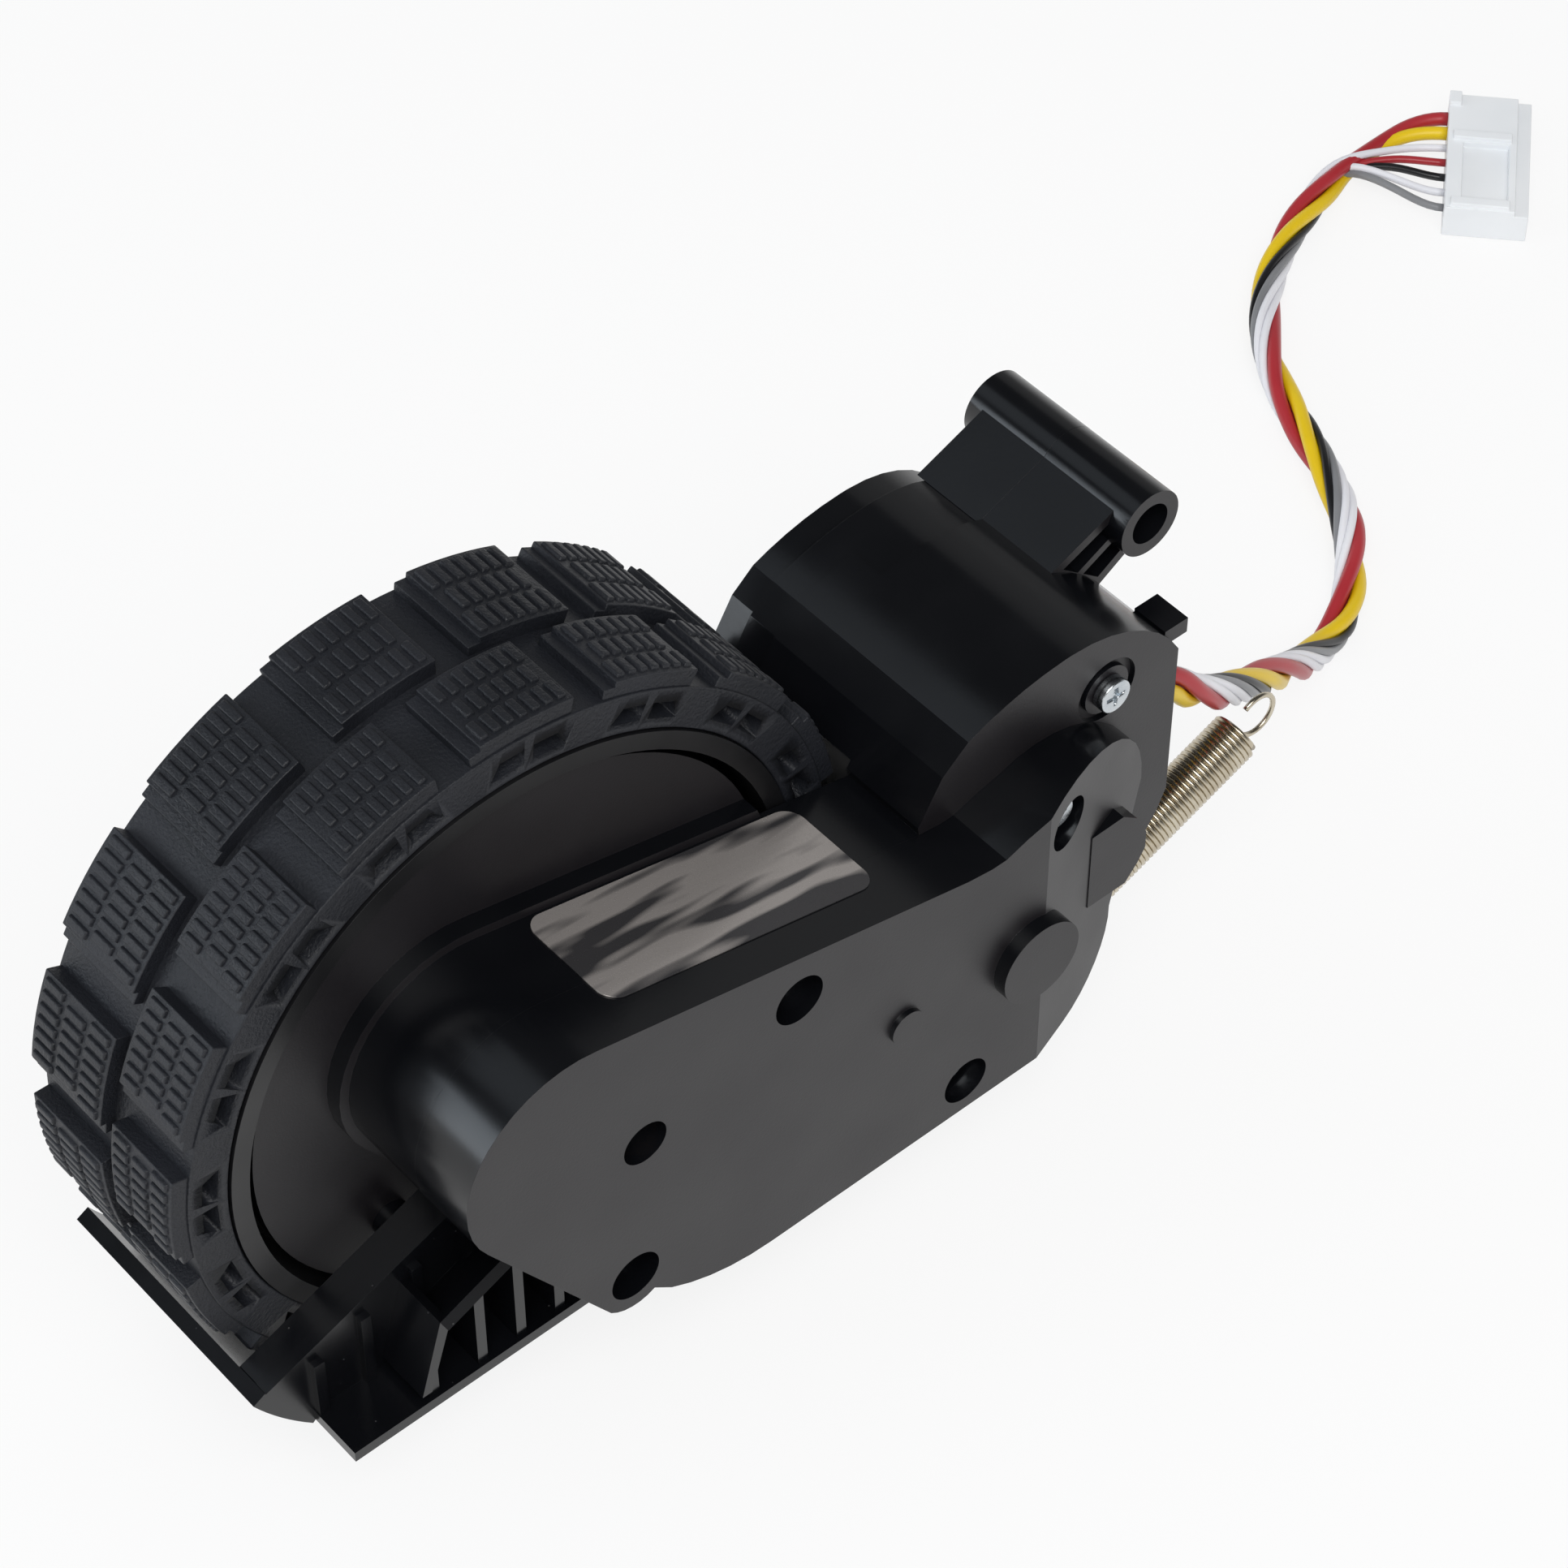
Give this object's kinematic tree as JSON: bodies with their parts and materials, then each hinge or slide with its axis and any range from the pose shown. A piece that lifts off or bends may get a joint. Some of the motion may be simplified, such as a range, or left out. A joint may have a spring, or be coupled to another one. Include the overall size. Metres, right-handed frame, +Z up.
{
  "type": "robot vacuum wheel module",
  "caption": "Drive wheel module: treaded tyre driven through a closed gearbox by a motor in a barrel, with a pivot sleeve, a hooked suspension spring and a twisted wire lead to a white plug.",
  "frame": {"origin": "on the floor under the middle of the module, measured without the lead and its plug", "axes": "+X from the wheel towards the pivot sleeve, +Y along the wheel axis from the gearbox cover towards the tyre, +Z up"},
  "size_m": [0.2157, 0.0769, 0.07],
  "materials": {
    "tyre_rubber": "moulded rubber, fine texture on the groove floors",
    "black_plastic": "moulded, lightly polished",
    "grey_plastic": "moulded, spark-textured face",
    "rim_plastic": "moulded",
    "gear_plastic": "moulded acetal",
    "steel": "ground",
    "zinc_steel": "bright zinc plating",
    "sintered_bronze": "sintered",
    "motor_brass": "turned",
    "copper": "turned",
    "wound_core": "laminations with enamelled winding",
    "ferrite": "sintered",
    "cap_nylon": "moulded",
    "carbon": "pressed",
    "board_green": "solder mask",
    "chip_black": "moulded",
    "foil": "satin foil",
    "spring_steel": "nickel plating",
    "wire_insulation": "twisted wires in several colours",
    "plug_nylon": "moulded, natural white",
    "contact_tin": "tin plating"
  },
  "bodies": {
    "housing": {"axle_bushes": "sintered_bronze", "gear_pins": "steel", "motor_can": "zinc_steel", "motor_magnets": "ferrite", "motor_end_cap": "cap_nylon", "motor_bushes": "sintered_bronze", "motor_brushes": "carbon", "motor_terminals": "motor_brass", "motor_screws": "zinc_steel", "encoder_board": "board_green", "hall_sensors": "chip_black", "inner_housing": "black_plastic", "gearbox_cover": "grey_plastic", "motor_end_cover": "black_plastic", "skirt_frame": "black_plastic", "cover_screws": "zinc_steel", "barrel_screws": "zinc_steel", "label_foil": "foil", "wire_bundle": "wire_insulation", "plug_housing": "plug_nylon", "plug_contacts": "contact_tin"},
    "wheel": {"tyre": "tyre_rubber", "wheel_rim": "rim_plastic", "axle_shaft": "steel", "hub_washer": "zinc_steel", "hub_screw": "zinc_steel", "output_gear": "gear_plastic"},
    "third_gear": {"third_gear": "gear_plastic"},
    "second_gear": {"second_gear": "gear_plastic"},
    "first_gear": {"first_gear": "gear_plastic"},
    "spring": {"suspension_spring": "spring_steel"},
    "motor_rotor": {"motor_pinion": "motor_brass", "motor_shaft": "steel", "motor_armature": "wound_core", "commutator": "copper", "encoder_magnet": "ferrite"}
  },
  "joints": [
    {"name": "wheel_spin", "type": "hinge", "parent": "housing", "child": "wheel", "pos_m": [-0.0236, -0.0013, 0.035], "axis": [0, 1, 0], "continuous": true},
    {"name": "third_gear_spin", "type": "hinge", "parent": "housing", "child": "third_gear", "pos_m": [-0.01061, -0.0013, 0.0275], "axis": [0, 1, 0], "continuous": true},
    {"name": "second_gear_spin", "type": "hinge", "parent": "housing", "child": "second_gear", "pos_m": [0.00439, -0.0013, 0.02776], "axis": [0, 1, 0], "continuous": true},
    {"name": "first_gear_spin", "type": "hinge", "parent": "housing", "child": "first_gear", "pos_m": [0.01779, -0.0013, 0.02612], "axis": [0, 1, 0], "continuous": true},
    {"name": "motor_spin", "type": "hinge", "parent": "housing", "child": "motor_rotor", "pos_m": [0.02689, -0.0013, 0.03026], "axis": [0, 1, 0], "continuous": true},
    {"name": "spring_swing", "type": "hinge", "parent": "housing", "child": "spring", "pos_m": [0.03259, -0.0073, 0.01236], "axis": [0, 1, 0], "range_deg": [-2, 24]}
  ],
  "couplings": [
    {"joint": "third_gear_spin", "follows": "wheel_spin", "ratio": -2.3333},
    {"joint": "second_gear_spin", "follows": "wheel_spin", "ratio": 3.5},
    {"joint": "first_gear_spin", "follows": "wheel_spin", "ratio": -15.4},
    {"joint": "motor_spin", "follows": "wheel_spin", "ratio": 46.2}
  ]
}
